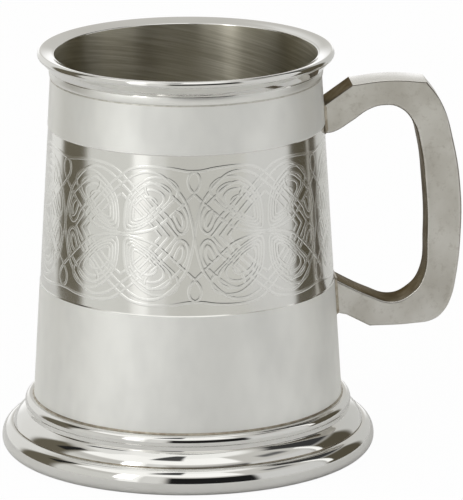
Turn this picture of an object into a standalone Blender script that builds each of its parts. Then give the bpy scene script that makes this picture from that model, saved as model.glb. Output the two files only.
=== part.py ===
"""One-pint pewter tankard, built piece by piece as it is soldered together on the bench.

A tapered drum of rolled sheet is closed by a butt seam behind the handle.  A turned mouth mount
is soldered on its upper edge, a floor disc is soldered inside its lower end, and a moulded foot is
slipped over the outside and soldered to a stout base ring.  A cast handle stands off the drum on
two soldered joints.  All sizes are in metres, +Z is up, and the handle points along +X.
"""

import math

import bmesh
import bpy
from mathutils import Matrix

# Driving dimensions.
HEIGHT = 0.1200  # standing plane to the crest of the lip
GAP = 0.0003  # clearance left at every soldered joint
TURN_STEPS = 60  # facets round each turned piece

FOOT_HEIGHT = 0.0162  # standing plane to the upper edge of the foot
MOUNT_HEIGHT = 0.0077  # lower edge of the mouth mount to the crest of the lip
DRUM_TOP_RADIUS = 0.0397  # outside, under the mouth mount
DRUM_FOOT_RADIUS = 0.04549  # outside, at the upper edge of the foot
DRUM_WALL = 0.0009
DRUM_TUCK = 0.0031  # how far the drum runs down past the floor
BAND_TOP_DROP = 0.0221  # crest of the lip to the upper border of the embossed band
BAND_HEIGHT = 0.0471
BAND_DEPTH = 0.00015
BAND_BORDER = 0.0004  # width of the sloping step at each border

SEAM_WIDTH = 0.0012
SOLDER_LINE = 0.0004  # height of the solder between drum and mouth mount

LIP_FLARE = 0.00365  # widest line of the lip, beyond the top of the drum
LIP_ROUNDING = 0.0009  # crest of the lip to its widest line, measured outwards
LIP_EDGE = 0.0011  # height of the rounded outer edge above its widest line
LIP_FUNNEL = 0.00105  # how far the funnel falls from the crest to the inner wall
LIP_INNER_STEP = 0.0004  # rounding where the funnel meets the inner wall
LIP_UNDERCUT = 0.0051  # crest of the lip to the foot of the sloping underside
LIP_COVE = 0.00015  # hollow of the sloping underside
COLLAR_PROUD = 0.0005  # how far the collar bead stands proud of the drum

FLOOR_DROP = 0.0032  # upper edge of the foot to the floor inside
FLOOR_WALL = 0.0011
FLOOR_FLANGE = 0.0018  # turned-down edge of the floor disc
FLOOR_EDGE = 0.0006  # rounding of the floor's upper edge
FLOOR_FILLET = 0.0007

BEAD_PROUD = 0.0017  # upper bead of the foot, beyond the foot's upper edge
FOOT_LEDGE = 0.00094  # upper edge of the foot, beyond the drum
BEAD_HEIGHT = 0.0042
FOOT_WALL = 0.0013
BEAD_TURN_IN = 0.0002  # how far the bead draws back in above the sweep
FOOT_SPREAD = 0.0035  # outward sweep of the moulding from the bead to the groove
FOOT_COVE = 0.0005  # hollow of that sweep
GROOVE_HEIGHT = 0.0079
BASE_SWELL = 0.0034  # how far the base ring stands out beyond the groove
BASE_MIDLINE = 0.0034  # height of the base ring's widest line
BASE_WIDTH = 0.0074  # base ring, inside to outside
BASE_FLAT = 0.0010  # half width of the flat that the tankard stands on
BASE_FLAT_SHIFT = 0.0008  # how far that flat lies inside the ring's middle
BASE_CHAMFER = 0.0008
JOINT_FILLET = 0.0006  # width of the solder lines round the foot

HANDLE_PROJECTION = 0.0352  # back of the grip, beyond the drum's largest radius above the foot
HANDLE_TOP_DROP = 0.0098  # crest of the lip to the top of the handle
HANDLE_FOOT_RISE = 0.0196  # upper edge of the foot to the underside of the handle
HANDLE_THICKNESS = 0.0110
HANDLE_GRIP = 0.0103  # depth of the grip, front to back
HANDLE_UPPER_ARM = 0.0076  # depth of the upper arm at its thinnest
HANDLE_LOWER_ARM = 0.0074
HANDLE_UPPER_ROOT = 0.0159  # top of the handle to the underside of the arm at the drum
HANDLE_NOTCH = 0.0063  # top of the handle to the upper side of the arm at the drum
HANDLE_LOWER_ROOT = 0.0045  # underside of the handle to the arm's lower side at the drum
HANDLE_LOWER_RISE = 0.0070  # how much higher the lower arm's upper side is at the drum
HANDLE_ROOT_SINK = 0.0034  # the arms are drawn this far into the drum, then cut back
HANDLE_EDGE = 0.0008
SOLDER_PAD = 0.0005  # thickness of the solder under each arm
SOLDER_MARGIN = 0.0008  # how far the solder shows round each arm
SOLDER_RUN = 0.0016  # how far the solder has run below the lower arm
SOLDER_CORNER = 0.0015
CUTTER_MARGIN = 0.0100  # how far a cutter runs past what it cuts

# Heights worked out from the driving dimensions.
MOUNT_Z = HEIGHT - MOUNT_HEIGHT
DRUM_TOP_Z = MOUNT_Z - SOLDER_LINE - 2 * GAP
FLOOR_Z = FOOT_HEIGHT - FLOOR_DROP
DRUM_BOTTOM_Z = FLOOR_Z - DRUM_TUCK
HANDLE_TOP_Z = HEIGHT - HANDLE_TOP_DROP
HANDLE_LOW_Z = FOOT_HEIGHT + HANDLE_FOOT_RISE


def drum_radius(z):
    """Outside radius of the plain drum at height z."""
    share = (z - FOOT_HEIGHT) / (MOUNT_Z - FOOT_HEIGHT)
    return DRUM_FOOT_RADIUS + share * (DRUM_TOP_RADIUS - DRUM_FOOT_RADIUS)


LIP_RADIUS = DRUM_TOP_RADIUS + LIP_FLARE
FOOT_TOP_RADIUS = DRUM_FOOT_RADIUS + FOOT_LEDGE
BEAD_RADIUS = FOOT_TOP_RADIUS + BEAD_PROUD
GROOVE_RADIUS = BEAD_RADIUS + FOOT_SPREAD
BASE_RADIUS = GROOVE_RADIUS + BASE_SWELL
HANDLE_REACH = DRUM_FOOT_RADIUS + HANDLE_PROJECTION

# The origin is the middle of the whole width, so the drum's axis lies to one side of it.
AXIS_X = (BASE_RADIUS - HANDLE_REACH) / 2


def clear_scene():
    for old in list(bpy.data.objects):
        bpy.data.objects.remove(old, do_unlink=True)


def make_collection(name):
    group = bpy.data.collections.new(name)
    bpy.context.scene.collection.children.link(group)
    return group


def metal(name, colour, roughness, metallic=1.0):
    """A plain metal finish for one piece."""
    material = bpy.data.materials.new(name)
    material.use_nodes = True
    shader = material.node_tree.nodes["Principled BSDF"]
    shader.inputs["Base Color"].default_value = (*colour, 1.0)
    shader.inputs["Roughness"].default_value = roughness
    shader.inputs["Metallic"].default_value = metallic
    return material


def arc(centre, radii, start, end, count):
    """Points on an elliptical arc in the radius-height plane; the angles are in degrees."""
    points = []
    for step in range(count + 1):
        angle = math.radians(start + (end - start) * step / count)
        points.append((centre[0] + radii[0] * math.cos(angle), centre[1] + radii[1] * math.sin(angle)))
    return points


def line_between(start, end, count, sag=0.0):
    """Points from start to end, hollowed sideways by sag at the middle."""
    run = (end[0] - start[0], end[1] - start[1])
    length = math.hypot(*run)
    side = (run[1] / length, -run[0] / length)
    points = []
    for step in range(count + 1):
        share = step / count
        bow = 4 * sag * share * (1 - share)
        points.append((start[0] + run[0] * share + side[0] * bow, start[1] + run[1] * share + side[1] * bow))
    return points


def place(name, mesh, collection, material, parent):
    piece = bpy.data.objects.new(name, mesh)
    collection.objects.link(piece)
    piece.parent = parent
    piece.data.materials.append(material)
    return piece


def turned(name, profile, collection, material, parent, closed=True):
    """A turned piece: its section, listed down the outside and back up the inside, is screwed round."""
    mesh = bpy.data.meshes.new(name)
    edges = [(i, i + 1) for i in range(len(profile) - 1)]
    if closed:
        edges.append((len(profile) - 1, 0))
    mesh.from_pydata([(radius, 0.0, z) for radius, z in profile], edges, [])
    piece = place(name, mesh, collection, material, parent)
    screw = piece.modifiers.new("turning", "SCREW")
    screw.axis = "Z"
    screw.angle = 2 * math.pi
    screw.steps = TURN_STEPS
    screw.render_steps = TURN_STEPS
    screw.use_merge_vertices = True
    screw.merge_threshold = 0.00001
    screw.use_smooth_shade = True
    return piece


def block_mesh(name, low, high):
    """A plain block between two corners."""
    mesh = bpy.data.meshes.new(name)
    block = bmesh.new()
    bmesh.ops.create_cube(block, size=1.0)
    for vertex in block.verts:
        for axis in range(3):
            middle = (low[axis] + high[axis]) / 2
            vertex.co[axis] = middle + vertex.co[axis] * (high[axis] - low[axis])
    block.to_mesh(mesh)
    block.free()
    return mesh


def box_cutter(name, low, high, collection, parent):
    return hide_cutter(bpy.data.objects.new(name, block_mesh(name, low, high)), collection, parent)


def cone_cutter(name, offset, low_z, high_z, collection, parent):
    """A solid cone that follows the drum at a set distance outside it."""
    mesh = bpy.data.meshes.new(name)
    cone = bmesh.new()
    bmesh.ops.create_cone(
        cone,
        cap_ends=True,
        segments=TURN_STEPS,
        radius1=drum_radius(low_z) + offset,
        radius2=drum_radius(high_z) + offset,
        depth=high_z - low_z,
    )
    bmesh.ops.rotate(cone, verts=cone.verts, matrix=turn_to_first_vertex(cone))
    bmesh.ops.translate(cone, verts=cone.verts, vec=(0.0, 0.0, (low_z + high_z) / 2))
    cone.to_mesh(mesh)
    cone.free()
    return hide_cutter(bpy.data.objects.new(name, mesh), collection, parent)


def turn_to_first_vertex(cone):
    """The turn about Z that brings a corner of the cone on to +X, in line with the turned pieces."""
    corner = next(iter(cone.verts)).co
    return Matrix.Rotation(-math.atan2(corner.y, corner.x), 3, "Z")


def hide_cutter(cutter, collection, parent):
    collection.objects.link(cutter)
    cutter.parent = parent
    cutter.hide_render = True
    cutter.display_type = "WIRE"
    return cutter


def boolean(piece, cutter, operation):
    cut = piece.modifiers.new(operation.lower(), "BOOLEAN")
    cut.operation = operation
    cut.solver = "EXACT"
    cut.object = cutter


def drum_profile():
    """Section of the drum wall, with the band between its borders pressed slightly inwards."""
    band_top = HEIGHT - BAND_TOP_DROP
    band_low = band_top - BAND_HEIGHT
    outside = [
        (drum_radius(DRUM_TOP_Z), DRUM_TOP_Z),
        (drum_radius(band_top), band_top),
        (drum_radius(band_top - BAND_BORDER) - BAND_DEPTH, band_top - BAND_BORDER),
        (drum_radius(band_low + BAND_BORDER) - BAND_DEPTH, band_low + BAND_BORDER),
        (drum_radius(band_low), band_low),
        (drum_radius(DRUM_BOTTOM_Z), DRUM_BOTTOM_Z),
    ]
    inside = [
        (drum_radius(DRUM_BOTTOM_Z) - DRUM_WALL, DRUM_BOTTOM_Z),
        (drum_radius(DRUM_TOP_Z) - DRUM_WALL, DRUM_TOP_Z),
    ]
    return outside + inside


def mount_profile():
    """Section of the mouth mount: funnel, rounded lip, sloping underside and collar bead."""
    crest = LIP_RADIUS - LIP_ROUNDING
    inner_wall = drum_radius(MOUNT_Z) - DRUM_WALL
    inner_top = HEIGHT - LIP_FUNNEL - LIP_INNER_STEP
    edge_z = HEIGHT - LIP_EDGE
    under_z = HEIGHT - LIP_UNDERCUT
    collar = drum_radius(under_z) + COLLAR_PROUD
    outside = arc((crest, edge_z), (LIP_ROUNDING, LIP_EDGE), 90, -45, 7)
    outside += line_between(outside[-1], (collar + LIP_COVE, under_z), 3, sag=LIP_COVE)[1:]
    collar_mid = (drum_radius((under_z + MOUNT_Z) / 2), (under_z + MOUNT_Z) / 2)
    outside += arc(collar_mid, (collar - collar_mid[0], collar_mid[1] - MOUNT_Z), 55, -90, 5)
    wall_lean = drum_radius(MOUNT_Z) - drum_radius(inner_top)
    inside = [(inner_wall, MOUNT_Z), (inner_wall - wall_lean, inner_top)]
    inside += [(inner_wall - wall_lean + LIP_INNER_STEP, HEIGHT - LIP_FUNNEL)]
    return outside + inside


def floor_profile():
    """Section of the floor disc from the axis outwards, down its turned edge and back."""
    rim = drum_radius(FLOOR_Z) - DRUM_WALL - GAP
    low = FLOOR_Z - FLOOR_WALL
    skirt = rim - FLOOR_WALL
    corner = arc((rim - FLOOR_EDGE, FLOOR_Z - FLOOR_EDGE), (FLOOR_EDGE, FLOOR_EDGE), 90, 0, 3)
    skirt_points = [(rim, low - FLOOR_FLANGE), (skirt, low - FLOOR_FLANGE), (skirt, low)]
    return [(0.0, FLOOR_Z)] + corner + skirt_points + [(0.0, low)]


def foot_profile():
    """Section of the foot: a rounded bead under its upper edge, then a wall that sweeps outwards."""
    bead_low = FOOT_HEIGHT - BEAD_HEIGHT
    bead_mid = bead_low + BEAD_HEIGHT / 2
    bead = arc((FOOT_TOP_RADIUS, bead_mid), (BEAD_PROUD, BEAD_HEIGHT / 2), 90, -20, 7)
    corner = (BEAD_RADIUS - BEAD_TURN_IN, bead_low)
    groove = (GROOVE_RADIUS, GROOVE_HEIGHT + GAP)
    outside = bead + line_between(corner, groove, 6, sag=-FOOT_COVE)
    inner_corner = (drum_radius(bead_low) + GAP, bead_low)
    inside = line_between((groove[0] - FOOT_WALL, groove[1]), inner_corner, 4, sag=FOOT_COVE / 2)
    return outside + inside + [(drum_radius(FOOT_HEIGHT) + GAP, FOOT_HEIGHT)]


def base_profile():
    """Section of the base ring: a stout half-round bead with a narrow flat to stand on."""
    inner = BASE_RADIUS - BASE_WIDTH
    flat_mid = inner + BASE_WIDTH / 2 - BASE_FLAT_SHIFT
    upper = arc((GROOVE_RADIUS, BASE_MIDLINE), (BASE_SWELL, GROOVE_HEIGHT - BASE_MIDLINE), 90, 0, 7)
    swell = BASE_RADIUS - flat_mid - BASE_FLAT
    lower = arc((flat_mid + BASE_FLAT, BASE_MIDLINE), (swell, BASE_MIDLINE), 0, -90, 6)
    heel = flat_mid - BASE_FLAT
    inside = arc((heel, BASE_MIDLINE), (heel - inner, BASE_MIDLINE), 270, 180, 4)
    chamfer = [(inner, GROOVE_HEIGHT - BASE_CHAMFER), (inner + BASE_CHAMFER, GROOVE_HEIGHT)]
    return upper + lower[1:] + inside + chamfer


def fillet_ring(corner, width, height):
    """Section of a small solder fillet that sits in a corner, seen from outside the ring."""
    r, z = corner
    return [(r, z + height), (r + 0.4 * width, z + 0.4 * height), (r + width, z), (r, z)]


def handle_knots():
    """The handle's outline: points as distance from the axis and height, True where it turns a corner."""
    top = HANDLE_TOP_Z
    low = HANDLE_LOW_Z
    back = HANDLE_REACH
    inner_back = back - HANDLE_GRIP
    rise = top - low

    def off(z, distance):
        return drum_radius(z) + distance

    under_arm = top - HANDLE_UPPER_ARM
    over_arm = low + HANDLE_LOWER_ARM
    root = -HANDLE_ROOT_SINK
    return [
        (off(top, root), top - 0.0092, True),
        (off(top, 0.0085), top - 0.0011, True),
        (off(top, 0.0200), top, False),
        (back - 0.0108, top - 0.0009, True),
        (back - 0.0065, top - 0.0070, False),
        (back - 0.0025, low + 0.74 * rise, False),
        (back - 0.0002, low + 0.54 * rise, False),
        (back - 0.0001, low + 0.38 * rise, False),
        (back - 0.0016, low + 0.0135, False),
        (back - 0.0030, low + 0.0077, False),
        (back - 0.0050, low + 0.0039, False),
        (back - 0.0080, low + 0.0014, False),
        (back - 0.0147, low + 0.0003, False),
        (off(low, 0.0093), low, True),
        (off(low, 0.0023), low + 0.0037, True),
        (off(low, root), low + 0.0048, True),
        (off(low, root), over_arm + 0.0088, True),
        (off(low, 0.0090), over_arm + 0.0022, False),
        (inner_back - 0.0100, over_arm, False),
        (inner_back - 0.0050, over_arm + 0.0019, False),
        (inner_back - 0.0014, over_arm + 0.0062, False),
        (inner_back, low + 0.355 * rise, False),
        (inner_back - 0.0007, low + 0.594 * rise, False),
        (inner_back - 0.0021, under_arm - 0.0119, False),
        (inner_back - 0.0041, under_arm - 0.0053, False),
        (inner_back - 0.0083, under_arm - 0.0008, False),
        (inner_back - 0.0129, under_arm, False),
        (off(top, 0.0137), under_arm - 0.0010, False),
        (off(top, 0.0082), under_arm - 0.0046, False),
        (off(top, 0.0029), top - HANDLE_UPPER_ROOT + 0.0007, False),
        (off(top, root), top - HANDLE_UPPER_ROOT, True),
    ]


def handle_outline(name, collection, parent):
    """The handle as a flat outline, thickened to both sides of its middle plane."""
    curve = bpy.data.curves.new(name, "CURVE")
    curve.dimensions = "2D"
    curve.fill_mode = "BOTH"
    curve.resolution_u = 4
    curve.extrude = HANDLE_THICKNESS / 2
    knots = handle_knots()
    spline = curve.splines.new("BEZIER")
    spline.bezier_points.add(len(knots) - 1)
    spline.use_cyclic_u = True
    for point, (reach, z, is_corner) in zip(spline.bezier_points, knots):
        point.co = (reach, z, 0.0)
        handle_type = "VECTOR" if is_corner else "AUTO"
        point.handle_left_type = handle_type
        point.handle_right_type = handle_type
    outline = bpy.data.objects.new(name + "_outline", curve)
    collection.objects.link(outline)
    outline.parent = parent
    outline.rotation_euler = (math.pi / 2, 0.0, 0.0)
    return outline


def curve_to_mesh_object(outline, name, collection, material, parent):
    """Turns a filled curve into a welded mesh object in the same place."""
    bpy.context.view_layer.update()
    evaluated = outline.evaluated_get(bpy.context.evaluated_depsgraph_get())
    mesh = bpy.data.meshes.new_from_object(evaluated)
    welded = bmesh.new()
    welded.from_mesh(mesh)
    bmesh.ops.remove_doubles(welded, verts=welded.verts, dist=0.00001)
    bmesh.ops.dissolve_limit(welded, angle_limit=math.radians(0.5), verts=welded.verts, edges=welded.edges)
    welded.to_mesh(mesh)
    welded.free()
    mesh.materials.clear()
    piece = place(name, mesh, collection, material, parent)
    piece.rotation_euler = outline.rotation_euler
    bpy.data.objects.remove(outline, do_unlink=True)
    return piece


def round_edges(piece, width, angle):
    bevel = piece.modifiers.new("edges", "BEVEL")
    bevel.width = width
    bevel.segments = 1
    bevel.limit_method = "ANGLE"
    bevel.angle_limit = math.radians(angle)


def solder_pad(name, low_z, high_z, collection, cutters, material, parent):
    """Solder under one arm: a pad that follows the drum and shows a little all round the arm."""
    half = HANDLE_THICKNESS / 2 + SOLDER_MARGIN
    low = (drum_radius(high_z) - CUTTER_MARGIN, -half, low_z)
    high = (drum_radius(low_z) + CUTTER_MARGIN, half, high_z)
    pad = place(name, block_mesh(name, low, high), collection, material, parent)
    round_edges(pad, SOLDER_CORNER, 60)
    span = (low_z - CUTTER_MARGIN, high_z + CUTTER_MARGIN)
    boolean(pad, cone_cutter(name + "_outer", GAP + SOLDER_PAD, *span, cutters, parent), "INTERSECT")
    boolean(pad, cone_cutter(name + "_inner", GAP, *span, cutters, parent), "DIFFERENCE")


def build_tankard():
    clear_scene()
    parts = make_collection("pewter_tankard")
    cutters = make_collection("tankard_cutters")
    axis = bpy.data.objects.new("tankard_axis", None)
    axis.location = (AXIS_X, 0.0, 0.0)
    parts.objects.link(axis)

    satin = (0.62, 0.61, 0.58)
    polished = (0.70, 0.69, 0.67)
    cast = (0.48, 0.46, 0.42)
    grey_solder = (0.33, 0.30, 0.25)

    # The drum, with its butt seam opened behind the handle.
    drum = turned("drum", drum_profile(), parts, metal("drum_pewter", satin, 0.35), axis)
    seam_start = DRUM_TOP_RADIUS / 2
    seam_reach = DRUM_FOOT_RADIUS + CUTTER_MARGIN
    slot_low = (seam_start, -SEAM_WIDTH / 2, DRUM_BOTTOM_Z - CUTTER_MARGIN)
    slot_high = (seam_reach, SEAM_WIDTH / 2, DRUM_TOP_Z + CUTTER_MARGIN)
    boolean(drum, box_cutter("seam_slot", slot_low, slot_high, cutters, axis), "DIFFERENCE")

    # The solder that fills the seam follows the wall, a little narrower than the slot.
    seam = turned("seam_solder", drum_profile(), parts, metal("seam_metal", grey_solder, 0.45), axis)
    strip_half = SEAM_WIDTH / 2 - GAP
    strip_low = (seam_start, -strip_half, DRUM_BOTTOM_Z - CUTTER_MARGIN)
    strip_high = (seam_reach, strip_half, DRUM_TOP_Z + CUTTER_MARGIN)
    boolean(seam, box_cutter("seam_strip", strip_low, strip_high, cutters, axis), "INTERSECT")

    # The mouth mount and the line of solder that joins it to the drum.
    turned("mouth_mount", mount_profile(), parts, metal("mount_pewter", polished, 0.12), axis)
    line_low = DRUM_TOP_Z + GAP
    line_high = line_low + SOLDER_LINE
    solder_section = [
        (drum_radius(line_high), line_high),
        (drum_radius(line_low), line_low),
        (drum_radius(line_low) - DRUM_WALL, line_low),
        (drum_radius(line_high) - DRUM_WALL, line_high),
    ]
    turned("mount_solder", solder_section, parts, metal("mount_solder_metal", grey_solder, 0.4), axis)

    # The floor, and the fillet of solder that seals it to the drum.
    turned("floor_disc", floor_profile(), parts, metal("floor_pewter", cast, 0.4), axis, closed=False)
    seal_z = FLOOR_Z + GAP
    seal_outer = drum_radius(seal_z + FLOOR_FILLET) - DRUM_WALL - GAP
    seal = [(seal_outer, seal_z + FLOOR_FILLET), (seal_outer, seal_z), (seal_outer - FLOOR_FILLET, seal_z)]
    turned("floor_solder", seal, parts, metal("floor_solder_metal", grey_solder, 0.45), axis)

    # The foot, the base ring under it, and the solder at its three joints.
    turned("foot_moulding", foot_profile(), parts, metal("foot_pewter", polished, 0.1), axis)
    turned("base_ring", base_profile(), parts, metal("base_pewter", polished, 0.1), axis)
    foot_corner = (drum_radius(FOOT_HEIGHT) + GAP, FOOT_HEIGHT + GAP)
    foot_fillet = fillet_ring(foot_corner, JOINT_FILLET, JOINT_FILLET)
    turned("foot_solder", foot_fillet, parts, metal("foot_solder_metal", grey_solder, 0.45), axis)
    base_top = GROOVE_HEIGHT + GAP
    base_outer = GROOVE_RADIUS - FOOT_WALL - GAP
    bead_low = FOOT_HEIGHT - BEAD_HEIGHT
    wall_lean = (base_outer - drum_radius(bead_low)) / (bead_low - base_top)
    # The seal leans in under the sweeping wall, further where the sweep is flatter.
    seal_lean = max(1.5, wall_lean + 0.2) * JOINT_FILLET
    base_seal = [
        (base_outer - seal_lean, base_top + JOINT_FILLET),
        (base_outer, base_top),
        (base_outer - seal_lean - JOINT_FILLET, base_top),
    ]
    turned("base_solder", base_seal, parts, metal("base_solder_metal", grey_solder, 0.45), axis)

    # The cast handle, cut back to stand clear of the drum by the thickness of its solder.
    cast_metal = metal("handle_pewter", cast, 0.32)
    outline = handle_outline("handle", parts, axis)
    handle = curve_to_mesh_object(outline, "handle", parts, cast_metal, axis)
    round_edges(handle, HANDLE_EDGE, 60)
    stand_off = SOLDER_PAD + 2 * GAP
    saddle_span = (HANDLE_LOW_Z - CUTTER_MARGIN, HANDLE_TOP_Z + CUTTER_MARGIN)
    boolean(handle, cone_cutter("handle_saddle", stand_off, *saddle_span, cutters, axis), "DIFFERENCE")

    upper_high = HANDLE_TOP_Z - HANDLE_NOTCH + SOLDER_MARGIN
    upper_low = HANDLE_TOP_Z - HANDLE_UPPER_ROOT - SOLDER_MARGIN
    solder = metal("upper_solder_metal", grey_solder, 0.4)
    solder_pad("handle_solder_upper", upper_low, upper_high, parts, cutters, solder, axis)
    lower_high = HANDLE_LOW_Z + HANDLE_LOWER_ARM + HANDLE_LOWER_RISE + SOLDER_MARGIN
    lower_low = HANDLE_LOW_Z + HANDLE_LOWER_ROOT - SOLDER_RUN
    solder = metal("lower_solder_metal", grey_solder, 0.4)
    solder_pad("handle_solder_lower", lower_low, lower_high, parts, cutters, solder, axis)


build_tankard()
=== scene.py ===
"""The looks of a one-pint pewter tankard, put together in the order that it is made on the bench."""

import math

import bmesh
import bpy
from mathutils import Matrix, Vector


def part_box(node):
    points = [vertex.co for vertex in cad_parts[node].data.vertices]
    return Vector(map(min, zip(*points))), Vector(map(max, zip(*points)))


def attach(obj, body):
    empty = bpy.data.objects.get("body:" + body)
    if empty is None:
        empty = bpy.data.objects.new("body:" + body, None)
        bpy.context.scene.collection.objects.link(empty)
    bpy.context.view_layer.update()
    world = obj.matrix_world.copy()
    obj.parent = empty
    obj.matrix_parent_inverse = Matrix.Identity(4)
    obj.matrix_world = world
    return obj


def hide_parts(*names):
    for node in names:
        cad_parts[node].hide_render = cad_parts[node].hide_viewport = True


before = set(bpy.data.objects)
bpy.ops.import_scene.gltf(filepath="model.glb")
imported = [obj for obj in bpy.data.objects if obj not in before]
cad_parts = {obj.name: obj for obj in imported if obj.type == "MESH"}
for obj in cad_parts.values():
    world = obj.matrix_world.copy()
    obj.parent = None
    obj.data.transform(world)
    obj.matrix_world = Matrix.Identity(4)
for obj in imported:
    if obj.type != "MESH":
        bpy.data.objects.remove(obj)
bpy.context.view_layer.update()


# The drum: sheet pewter rolled to a gentle taper and butted together behind the handle.
# Its outside is satin, apart from a burnished band between two pressed lines, and its inside
# is left as brushed sheet.  Everything else is soldered on to it.

axis_x = sum(corner.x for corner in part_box("base_ring")) / 2
crest_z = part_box("mouth_mount")[1].z
mount_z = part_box("mouth_mount")[0].z
foot_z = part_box("foot_moulding")[1].z
drum_foot_radius = 0.04549
drum_top_radius = 0.03970
drum_wall = 0.0009
drum_top_z = mount_z - 0.0004
drum_low_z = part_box("drum")[0].z
band_top_z = crest_z - 0.0221
band_low_z = band_top_z - 0.0471
band_depth = 0.00018
band_step = 0.00030
seam_half = 0.00042


def drum_radius(z):
    """Outside radius of the plain drum at height z."""
    share = (z - foot_z) / (mount_z - foot_z)
    return drum_foot_radius + share * (drum_top_radius - drum_foot_radius)


def piece_from(name, points, faces, sharp_angle=35.0):
    """A smooth piece with its doubles welded, its faces outwards and its corners kept crisp."""
    mesh = bpy.data.meshes.new(name)
    mesh.from_pydata(points, [], faces)
    welded = bmesh.new()
    welded.from_mesh(mesh)
    bmesh.ops.remove_doubles(welded, verts=welded.verts, dist=0.000002)
    bmesh.ops.recalc_face_normals(welded, faces=welded.faces)
    welded.to_mesh(mesh)
    welded.free()
    mesh.shade_smooth()
    mesh.set_sharp_from_angle(angle=math.radians(sharp_angle))
    piece = bpy.data.objects.new(name, mesh)
    bpy.context.scene.collection.objects.link(piece)
    return piece


def turned(name, section, steps=240, start=0.0, end=360.0, sharp_angle=35.0):
    """A closed section of radii and heights, swept round the tankard's axis between two angles."""
    whole = end - start >= 360.0
    columns = steps if whole else steps + 1
    rows = len(section)
    points = []
    for column in range(columns):
        angle = math.radians(start + (end - start) * column / steps)
        for radius, z in section:
            points.append((axis_x + radius * math.cos(angle), radius * math.sin(angle), z))
    faces = []
    for column in range(steps):
        this, other = column * rows, (column + 1) % columns * rows
        for row in range(rows):
            after = (row + 1) % rows
            faces.append((this + row, other + row, other + after, this + after))
    if not whole:
        faces.append(tuple(range(rows)))
        faces.append(tuple(steps * rows + row for row in range(rows)))
    return piece_from(name, points, faces, sharp_angle)


class Level:
    """One output of a node; arithmetic on levels adds Math nodes."""

    def __init__(self, nodes, socket):
        self.nodes = nodes
        self.socket = socket

    def math(self, operation, *others):
        sockets = dict(enumerate((self, *others)))
        return self.nodes.add("ShaderNodeMath", {"operation": operation}, sockets).out()

    def __add__(self, other):
        return self.math("ADD", other)

    __radd__ = __add__

    def __mul__(self, other):
        return self.math("MULTIPLY", other)

    __rmul__ = __mul__

    def __sub__(self, other):
        return self.math("SUBTRACT", other)

    def __rsub__(self, other):
        return (self * -1.0) + other

    def __truediv__(self, other):
        return self.math("DIVIDE", other)

    def between(self, low, high):
        """1 between two values and 0 outside them."""
        return self.math("GREATER_THAN", low) * self.math("LESS_THAN", high)

    def smooth(self, low, high, to_low=0.0, to_high=1.0):
        """Eases from to_low to to_high as this goes from low to high."""
        values = {"Value": self, "From Min": low, "From Max": high, "To Min": to_low, "To Max": to_high}
        return self.nodes.add("ShaderNodeMapRange", {"interpolation_type": "SMOOTHSTEP"}, values).out()

    def eased(self, to_low=0.0, to_high=1.0):
        """The same for a cloud, over the middle of the range that noise fills."""
        return self.smooth(0.3, 0.7, to_low, to_high)


class Made:
    """A node that has been added, with its outputs as levels."""

    def __init__(self, nodes, node):
        self.nodes = nodes
        self.node = node

    def out(self, name=0):
        return Level(self.nodes, self.node.outputs[name])


class Nodes:
    """A tree of nodes: a material's, the studio's or a recipe's."""

    def __init__(self, tree):
        self.tree = tree

    def add(self, kind, settings=None, sockets=None):
        """Any node: its settings come first, then the values or links of its sockets."""
        node = self.tree.nodes.new(kind)
        for name, value in (settings or {}).items():
            setattr(node, name, value)
        for name, value in (sockets or {}).items():
            if isinstance(value, Level):
                self.tree.links.new(value.socket, node.inputs[name])
            elif isinstance(value, tuple) and node.inputs[name].type == "RGBA":
                node.inputs[name].default_value = (*value, 1.0)
            else:
                node.inputs[name].default_value = value
        return Made(self, node)

    def split(self, vector):
        parts = self.add("ShaderNodeSeparateXYZ", {}, {0: vector})
        return parts.out(0), parts.out(1), parts.out(2)

    def join(self, x, y, z):
        return self.add("ShaderNodeCombineXYZ", {}, {0: x, 1: y, 2: z}).out()


class Finish(Nodes):
    """A new material, or a tree that is there already, emptied and built up node by node."""

    def __init__(self, name, tree=None):
        self.material = None
        if tree is None:
            self.material = bpy.data.materials.new(name)
            self.material.use_nodes = True
            tree = self.material.node_tree
        super().__init__(tree)
        tree.nodes.clear()

    def mix(self, factor, first, second):
        """A colour between two others."""
        return self.add("ShaderNodeMix", {"data_type": "RGBA"}, {0: factor, 6: first, 7: second}).out(2)

    def place(self):
        """Object coordinates measured from the tankard's own axis."""
        where = self.add("ShaderNodeTexCoord").out("Object")
        settings = {"vector_type": "POINT"}
        return self.add("ShaderNodeMapping", settings, {0: where, 1: (-axis_x, 0.0, 0.0)}).out()

    def cloud(self, where, scale, detail, roughness=0.5):
        """Soft noise from 0 to 1."""
        values = {"Vector": where, "Scale": scale, "Detail": detail, "Roughness": roughness}
        return self.add("ShaderNodeTexNoise", {}, values).out("Fac")

    def bump(self, height, distance, strength):
        values = {"Height": height, "Distance": distance, "Strength": strength}
        return self.add("ShaderNodeBump", {}, values).out("Normal")

    def metal(self, colour, roughness, normal=None, **constants):
        """The metal itself, joined to the output."""
        values = {"Base Color": colour, "Roughness": roughness, "Metallic": 1.0, **constants}
        if normal is not None:
            values["Normal"] = normal
        shader = self.add("ShaderNodeBsdfPrincipled", {}, values).out("BSDF")
        self.add("ShaderNodeOutputMaterial", {}, {"Surface": shader})
        return self.material


def clouded_metal(name, cloud, first, second, roughness, **constants):
    """A metal that drifts in soft clouds between two colours and two roughnesses."""
    finish = Finish(name)
    clouds = finish.cloud(finish.place(), *cloud)
    colour = finish.mix(clouds.eased(), first, second)
    return finish.metal(colour, clouds.eased(*roughness), **constants)


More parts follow.
